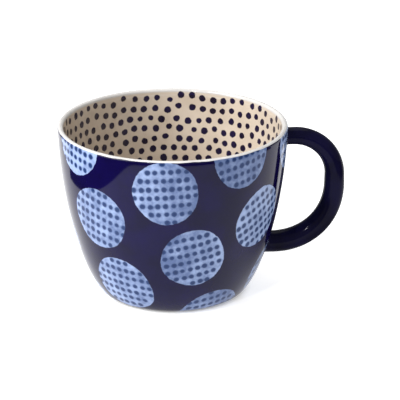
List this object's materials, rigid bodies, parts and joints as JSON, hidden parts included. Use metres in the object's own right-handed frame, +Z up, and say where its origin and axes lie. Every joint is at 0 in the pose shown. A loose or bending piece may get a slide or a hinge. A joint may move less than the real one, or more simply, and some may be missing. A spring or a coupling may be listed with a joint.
{
  "type": "stoneware mug",
  "caption": "Wide glazed stoneware mug with a round loop handle, a bare foot ring and a flared bowl, stamped with dotted discs.",
  "frame": {"origin": "on the bowl's axis, in the plane of the foot ring's resting face", "axes": "+Z up along the bowl's axis, +X towards the handle"},
  "size_m": [0.1455, 0.116, 0.088],
  "materials": {
    "clay": "bare, matt",
    "cobalt_glaze": "gloss",
    "pale_blue_glaze": "gloss",
    "cream_glaze": "gloss",
    "white_glaze": "gloss"
  },
  "bodies": {
    "root": {"clay_body": "clay", "foot_ring": "clay", "clay_handle": "clay", "upper_joint": "cobalt_glaze", "lower_joint": "cobalt_glaze", "outer_glaze": "cobalt_glaze", "stamped_discs": "pale_blue_glaze", "inner_glaze": "cream_glaze", "rim_glaze": "white_glaze", "handle_glaze": "cobalt_glaze", "base_glaze": "white_glaze"}
  },
  "joints": []
}
